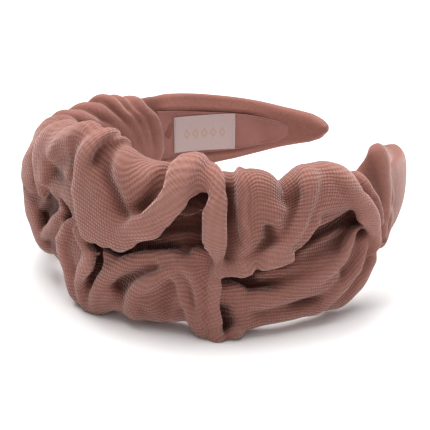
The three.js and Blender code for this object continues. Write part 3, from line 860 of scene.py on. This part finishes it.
def ribbed_velour(name, deep, face, tip):
    """Velour knitted in fine ribs, each a row of small tufts; the pile wanders a little. Creases get
    painted shade and crests painted highlight.
    """
    look = Look(name)
    run, across = look.fabric_axes()
    wander = look.math("MULTIPLY", look.noise(RIB_SCALE, 2), RIB_WANDER)
    ribs = look.wave(look.math("ADD", across, wander), RIB_PITCH)
    tufts = look.wave(look.math("ADD", run, wander), TUFT_PITCH)
    before_end = look.math(
        "MULTIPLY_ADD", run, -1 / RIBS_END_FADE, RIBS_END / RIBS_END_FADE, clamp=True
    )
    after_start = look.math(
        "MULTIPLY_ADD", run, 1 / RIBS_START_FADE, -RIBS_START / RIBS_START_FADE, clamp=True
    )
    knit = look.weighted((ribs, RIB_SHARE), (tufts, TUFT_SHARE))
    on_crown = look.math("MULTIPLY", before_end, after_start)
    height = look.weighted(
        (knit, on_crown), (look.noise(900, 3), CLUMP_SHARE), (look.noise(3200, 2), PILE_SHARE)
    )
    body = look.mix(look.math("MULTIPLY", height, 0.5, clamp=True), deep, face)
    patches = look.math("MULTIPLY_ADD", look.noise(42, 3), 0.9, -0.25, clamp=True)
    body = look.mix(patches, body, tip)
    # Painted shade in the creases and painted highlight on the crests, from the cover's relief
    attribute = look.node("Attribute")
    attribute.attribute_name = "painted_shading"
    for shade, colour in ((CREASE_PAINTED_SHADE, CREASE_PAINTED_SHADE_COLOUR), (CREST_PAINTED_HIGHLIGHT, CREST_PAINTED_HIGHLIGHT_COLOUR)):
        share = look.math("MULTIPLY", attribute.outputs["Fac"], shade, clamp=True)
        body = look.mix(share, body, colour)
    return look.finish(body, height, RIB_DEPTH, 0.9, VELVET)


def plain_velour(name, deep, tip):
    """Smooth velour: short pile with no ribs, rubbed into lighter and darker patches."""
    look = Look(name)
    patches = look.noise(70, 3)
    colour = look.mix(look.math("MULTIPLY_ADD", patches, 1.6, -0.3), deep, tip)
    height = look.weighted((look.noise(2400, 3), 1.0), (patches, 2.0))
    return look.finish(colour, height, 0.25, 0.8, VELVET)


def woven(name, ground, figure, weave, motif):
    """Flat weave with a fine over-and-under; motif, a function, says where the yarn changes."""
    look = Look(name)
    u, v = look.fabric_axes()
    cross = look.math("MULTIPLY", look.wave(u, weave), look.wave(v, weave))
    height = look.weighted((cross, 0.3), (look.noise(900, 2), 1.0))
    shade = look.math("MULTIPLY_ADD", height, 0.35, 0.35)
    dark = tuple(c * 0.8 for c in ground)
    colour = look.mix(motif(look, u, v), look.mix(shade, dark, ground), figure)
    settings = {"Roughness": 0.6, "Specular IOR Level": 0.3, "Sheen Weight": 0.15}
    return look.finish(colour, height, 0.12, 0.7, settings)


def lozenges(look, u, v):
    """A row of small lozenges along the middle of the label."""
    pitch, half_height, half_run, narrow, rim, ink = 4.2, 2.6, 9.6, 2.4, 0.45, 0.75
    turn = look.math("ADD", look.math("DIVIDE", u, pitch), 0.5)
    across = look.math("ABSOLUTE", look.math("SUBTRACT", look.math("FRACT", turn), 0.5))
    tall = look.math("DIVIDE", look.math("ABSOLUTE", v), half_height)
    size = look.math("MULTIPLY_ADD", across, narrow, tall)
    ring = look.math("LESS_THAN", size, 1.0)
    ring = look.math("MULTIPLY", ring, look.math("GREATER_THAN", size, rim))
    in_row = look.math("LESS_THAN", look.math("ABSOLUTE", u), half_run)
    return look.math("MULTIPLY", look.math("MULTIPLY", ring, in_row), ink)


def twisted_thread(name, deep, tip):
    look = Look(name)
    ply = look.wave(look.math("ADD", *look.fabric_axes()), 0.5)
    share = look.math("MULTIPLY_ADD", ply, 0.5, 0.5)
    colour = look.mix(share, deep, tip)
    return look.finish(colour, share, 0.08, 0.8, {"Roughness": 0.7, "Sheen Weight": 0.2})


def grainy(name, deep, tip, scale, depth, roughness):
    """Foam or moulded plastic: pores or a fine moulded grain."""
    look = Look(name)
    grain = look.noise(scale, 4)
    colour = look.mix(look.math("MULTIPLY_ADD", grain, 1.4, -0.2), deep, tip)
    return look.finish(colour, grain, depth, 0.6, {"Roughness": roughness})


rib_velour = ribbed_velour(
    "rib_velour", (0.145, 0.053, 0.041), (0.32, 0.137, 0.107), (0.33, 0.147, 0.118)
)
lining_velour = plain_velour("lining_velour", (0.235, 0.098, 0.082), (0.33, 0.15, 0.128))
label_ribbon = woven("label_ribbon", (0.50, 0.375, 0.365), (0.42, 0.28, 0.19), 0.5, lozenges)
rose_thread = twisted_thread("rose_thread", (0.17, 0.068, 0.055), (0.33, 0.15, 0.125))
label_thread = twisted_thread("label_thread", (0.40, 0.29, 0.28), (0.56, 0.44, 0.43))
foam_grain = grainy("foam_grain", (0.62, 0.55, 0.45), (0.85, 0.80, 0.71), 900, 0.5, 0.95)
hoop_plastic = grainy("hoop_plastic", (0.66, 0.60, 0.55), (0.72, 0.66, 0.61), 300, 0.05, 0.5)

cover.data.materials.append(rib_velour)
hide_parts("ruched_cover_left", "ruched_cover_right")
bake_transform(cover)

# ---- The other pieces ----
SIDES = {"left": -1, "right": 1}
LINING_FACE = ARM_IN - 0.75  # the lining's face towards the head
LINING_SINK, LINING_SINK_LENGTH = 0.6, 18  # it sinks into the pile at its far end
LINING_THICK, LINING_COLUMNS, LINING_CORNER = 0.65, 72, 7
STITCH_PITCH, STITCH_LENGTH, STITCH_INSET, STITCH_RISE = 3.0, 2.1, 0.9, 0.22
SEAM_FIRST, SEAM_LAST = LINING_START + 6, LINING_END - 3
LABEL_S, LABEL_UP = -134.5, -1.4  # the label's middle
LABEL_HALF_LENGTH, LABEL_HALF_WIDTH, LABEL_THICK = 14.5, 8.25, 0.35
LABEL_STITCH_INSET, LABEL_STITCH_LENGTH, LABEL_STITCH_PITCH = 1.0, 1.3, 1.9
CORE_HALF, CORE_MARGIN, CORE_FULL_MARGIN = 14.0, 3.6, 4.5  # of the hoop and its foam
FOAM_FROM, FOAM_THICK = 2.05, 2.3
HOOP_TIP_GAP, FOAM_TIP_GAP = 4.5, 15
THREAD_END, THREAD_OUT, THREAD_AWAY, THREAD_WAVE = 118, 0.9, 0.75, 0.25
THREAD_SIDES = 8
TACK_LENGTH, TACK_GAP, TACK_PROUD, TACK_DIP = 1.2, 0.55, 0.25, 0.45
TACKS = [(61.6, -9.6), (120.5, -11.0), (18.2, -7.0), (-27.0, 2.0)]


def finish_piece(obj, look, body, name):
    obj.name = name + "_visual"
    obj.data.materials.append(look)
    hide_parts(name)
    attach(obj, body)


def strip(name, places, out, low, high, thick, columns, power):
    """A closed flat strip along the hoop. places are its stations; out (of its face nearest the
    head), low and high are values or functions of s; its corners are rounded."""
    turn = np.linspace(-math.pi, math.pi, columns, endpoint=False)
    across = squared(np.cos(turn), power)

    def value(what):
        at = what(places) if callable(what) else np.full(np.shape(places), float(what))
        return at[:, None]

    end_gap = np.minimum(places - places.min(), places.max() - places)
    blunt = np.clip(0.55 + 0.45 * np.sqrt(np.clip(end_gap / 0.5, 0, 1)), 0, 1)[:, None]
    middle, half = (value(high) + value(low)) / 2, (value(high) - value(low)) / 2
    ring_up = middle + half * squared(np.sin(turn), power)
    ripple = 0.16 * np.sin(places[:, None] * 0.31 + ring_up * 0.35) * (thick < 1)
    ring_out = value(out) + thick / 2 + thick / 2 * across * blunt + ripple
    s_grid = np.broadcast_to(places[:, None], ring_up.shape)
    rings = place(s_grid, ring_out, ring_up)
    faces = tube_faces(len(places), columns)
    faces += [cap(0, columns), cap((len(places) - 1) * columns, columns, True)]
    flat_u = (s_grid - (places[0] + places[-1]) / 2).ravel()
    flat_v = (ring_up - middle).ravel()
    uv = [(flat_u[k], flat_v[k]) for face in faces for k in face]
    return make_mesh(name, rings.reshape(-1, 3), faces, uv)


def stations(sign, first, last, step):
    count = int(round(abs(last - first) / step)) + 1
    return np.sort(sign * np.linspace(first, last, count))


def tube_along(points, radius):
    """Vertices and faces of a round thread with closed ends along points (mm)."""
    points = np.asarray(points, float)
    ahead = unit(np.gradient(points, axis=0))
    reference = np.array([0.0, 0.0, 1.0] if abs(ahead[0][2]) < 0.8 else [1.0, 0.0, 0.0])
    side = unit(np.cross(ahead, reference))
    other = np.cross(side, ahead)
    taper = np.ones((len(points), 1, 1))
    taper[0] = taper[-1] = 0.55
    turn = np.linspace(0, 2 * math.pi, THREAD_SIDES, endpoint=False)[None, :, None]
    vertices = points[:, None] + radius * taper * (
        np.cos(turn) * side[:, None] + np.sin(turn) * other[:, None]
    )
    faces = tube_faces(len(points), THREAD_SIDES)
    last = (len(points) - 1) * THREAD_SIDES
    faces += [cap(0, THREAD_SIDES, True), cap(last, THREAD_SIDES)]
    return vertices.reshape(-1, 3), faces


def stitches(name, runs, radius):
    """One mesh of separate short threads, each a list of points."""
    vertices, faces, uv, base = [], [], [], 0
    for run in runs:
        run_vertices, run_faces = tube_along(run, radius)
        vertices.append(run_vertices)
        per_row = np.linalg.norm(np.asarray(run[-1]) - np.asarray(run[0])) / len(run)
        for face in run_faces:
            uv += [(k // THREAD_SIDES * per_row, k % THREAD_SIDES * 0.25) for k in face]
            faces.append([k + base for k in face])
        base += len(run_vertices)
    return make_mesh(name, np.concatenate(vertices), faces, uv)


def add_thread(name, runs, radius, look, body):
    finish_piece(stitches(name, runs, radius), look, body, name)


def arch(s0, s1, up0, up1, out, rise):
    """A stitch from one point of a face to another, standing a little proud of it."""
    t = np.linspace(0, 1, 7)
    return place(s0 + (s1 - s0) * t, out - rise * np.sin(math.pi * t), up0 + (up1 - up0) * t)


def lining_face(s):
    sink = smooth(np.abs(s), LINING_END - LINING_SINK_LENGTH, LINING_END)
    return LINING_FACE + LINING_SINK * sink


def add_lining(side, sign):
    run = stations(sign, LINING_START, LINING_END, 0.8)
    lining = strip(
        "inner_lining_" + side, run, lining_face, seam_low, seam_top, LINING_THICK,
        LINING_COLUMNS, LINING_CORNER,
    )
    finish_piece(lining, lining_velour, side + "_half", "inner_lining_" + side)
    for end, height, inward in (("upper", seam_top, -1), ("lower", seam_low, 1)):
        runs = []
        for start in np.arange(SEAM_FIRST, SEAM_LAST, STITCH_PITCH):
            s = sign * np.array([start, start + STITCH_LENGTH])
            up = height(s) + inward * STITCH_INSET
            runs.append(arch(*s, *up, LINING_FACE - 0.02, STITCH_RISE))
        name = f"lining_seam_{end}_{side}"
        add_thread(name, runs, 0.17, rose_thread, side + "_half")


def add_label():
    low, high = LABEL_UP - LABEL_HALF_WIDTH, LABEL_UP + LABEL_HALF_WIDTH
    run = stations(1, LABEL_S - LABEL_HALF_LENGTH, LABEL_S + LABEL_HALF_LENGTH, 0.6)
    out = LINING_FACE - LABEL_THICK - 0.18
    label = strip("woven_label", run, out, low, high, LABEL_THICK, 64, 9)
    finish_piece(label, label_ribbon, "left_half", "woven_label")
    for row, end in (("rear", -1), ("front", 1)):
        at = LABEL_S + end * (LABEL_HALF_LENGTH - LABEL_STITCH_INSET)
        runs = []
        for up in np.arange(low + 0.9, high - 1.6, LABEL_STITCH_PITCH):
            runs.append(arch(at, at, up, up + LABEL_STITCH_LENGTH, out - 0.02, 0.16))
        name = "label_stitch_" + row
        add_thread(name, runs, 0.13, label_thread, "left_half")


def add_tack(name, s, w, body):
    """Three short stitches drawn tight across a crease at (s, w)."""
    i = int(np.argmin(np.abs(S - s)))
    j = int(np.argmin(np.abs(W - w)))
    out = out_dir[i, j]
    along_s = unit(outer[i + 4, j] - outer[i - 4, j])
    along_w = np.cross(out, along_s)
    t = np.linspace(-1, 1, 7)[:, None]
    runs = []
    for k in (-1, 0, 1):
        middle = outer[i, j] + along_w * TACK_GAP * k + out * TACK_PROUD
        runs.append(middle + along_s * t * TACK_LENGTH - out * TACK_DIP * t**2)
    add_thread(name, runs, 0.2, rose_thread, body)


def core_high(s):
    margin = CORE_MARGIN + CORE_FULL_MARGIN * fullness(s)
    return np.minimum(CORE_HALF, edge(TOP_EDGE, s) - margin)


def core_low(s):
    margin = CORE_MARGIN + CORE_FULL_MARGIN * fullness(s)
    return np.maximum(-CORE_HALF, edge(LOW_EDGE, s) + margin)


def add_core(side, sign):
    """Half of the hoop and its foam, and the threads that gather the cover's edges."""
    body = side + "_half"
    run = stations(sign, CROWN_GAP, ARM_LENGTH - HOOP_TIP_GAP, 1.2)
    hoop = strip("hoop_" + side, run, 0.0, core_low, core_high, HOOP_THICK, 40, 6)
    finish_piece(hoop, hoop_plastic, body, "hoop_" + side)
    run = stations(sign, CROWN_GAP, ARM_LENGTH - FOAM_TIP_GAP, 1.2)
    foam = strip("foam_pad_" + side, run, FOAM_FROM, core_low, core_high, FOAM_THICK, 40, 4)
    finish_piece(foam, foam_grain, body, "foam_pad_" + side)
    for end, height, up in (("upper", core_high, 1), ("lower", core_low, -1)):
        s = sign * np.linspace(CROWN_GAP, THREAD_END, 160)
        out = THREAD_OUT + THREAD_WAVE * np.sin(s * 1.9)
        path = place(s, out, height(s) + up * THREAD_AWAY)
        name = f"gather_thread_{end}_{side}"
        add_thread(name, [path], 0.4, rose_thread, body)


for side, sign in SIDES.items():
    add_lining(side, sign)
add_label()
for number, (s, w) in enumerate(TACKS, 1):
    add_tack(f"tack_stitch_{number}", s, w, "left_half" if s < 0 else "right_half")
for side, sign in SIDES.items():
    add_core(side, sign)


cover_threads = [f"tack_stitch_{k}" for k in (1, 2, 3, 4)]
cover_threads += [f"gather_thread_{end}_{side}" for side in SIDES for end in ("upper", "lower")]

# ---- Floor, light and camera ----
KEY_SIZE, KEY_POWER = 1.1, 24.5
FILL_SIZE, FILL_POWER = 0.9, 2.5
CAMERA_DISTANCE = 0.5
SENSOR_WIDTH = 36
FOCAL_SHARE = 2.88372  # focal length over image width
LOOK_RIGHT, LOOK_UP = -0.006371, -0.031452  # how far the camera looks past its aim, per metre

bpy.ops.mesh.primitive_plane_add(size=6, location=(0, 0, 0))
floor = bpy.context.object
floor.name = "floor"
floor_look = Look("floor")
floor_look.feed(floor_look.shader.inputs["Base Color"], (0.86, 0.855, 0.85))
floor_look.feed(floor_look.shader.inputs["Roughness"], 0.8)
floor.data.materials.append(floor_look.material)

world = bpy.data.worlds.new("studio")
bpy.context.scene.world = world
world.use_nodes = True
background = world.node_tree.nodes["Background"]
background.inputs["Color"].default_value = (0.98, 0.99, 1.0, 1)
background.inputs["Strength"].default_value = 0.31
bpy.context.scene.view_settings.view_transform = "Standard"


def stand(obj, at, look):
    obj.location = at
    obj.rotation_mode = "QUATERNION"
    obj.rotation_quaternion = look.to_track_quat("-Z", "Y")


def area_light(name, at, size, power):
    """A square soft light at a place, turned towards aim."""
    data = bpy.data.lights.new(name, "AREA")
    data.size = size
    data.energy = power
    stand(add_object(name, data), at, aim - at)


back = Vector((
    math.sin(VIEW_AZIMUTH) * math.cos(VIEW_ELEVATION),
    -math.cos(VIEW_AZIMUTH) * math.cos(VIEW_ELEVATION),
    math.sin(VIEW_ELEVATION),
))
right = Vector((math.cos(VIEW_AZIMUTH), math.sin(VIEW_AZIMUTH), 0))
aim = Vector((CENTRE[0] * MM, (CENTRE[1] + 8) * MM, LYING_HEIGHT * MM))
area_light("key", aim - right * 0.05 - back * 0.2 + Vector((0, 0, 1.0)), KEY_SIZE, KEY_POWER)
area_light("fill", aim + right * 0.1 + back * 0.9 + Vector((0, 0, 0.55)), FILL_SIZE, FILL_POWER)

camera_data = bpy.data.cameras.new("camera")
camera_data.sensor_width = SENSOR_WIDTH
camera_data.lens = SENSOR_WIDTH * FOCAL_SHARE
camera_data.clip_start = 0.01
camera = add_object("camera", camera_data)
bpy.context.scene.camera = camera
look = -back + right * LOOK_RIGHT + right.cross(-back) * LOOK_UP
stand(camera, aim + back * CAMERA_DISTANCE, look)
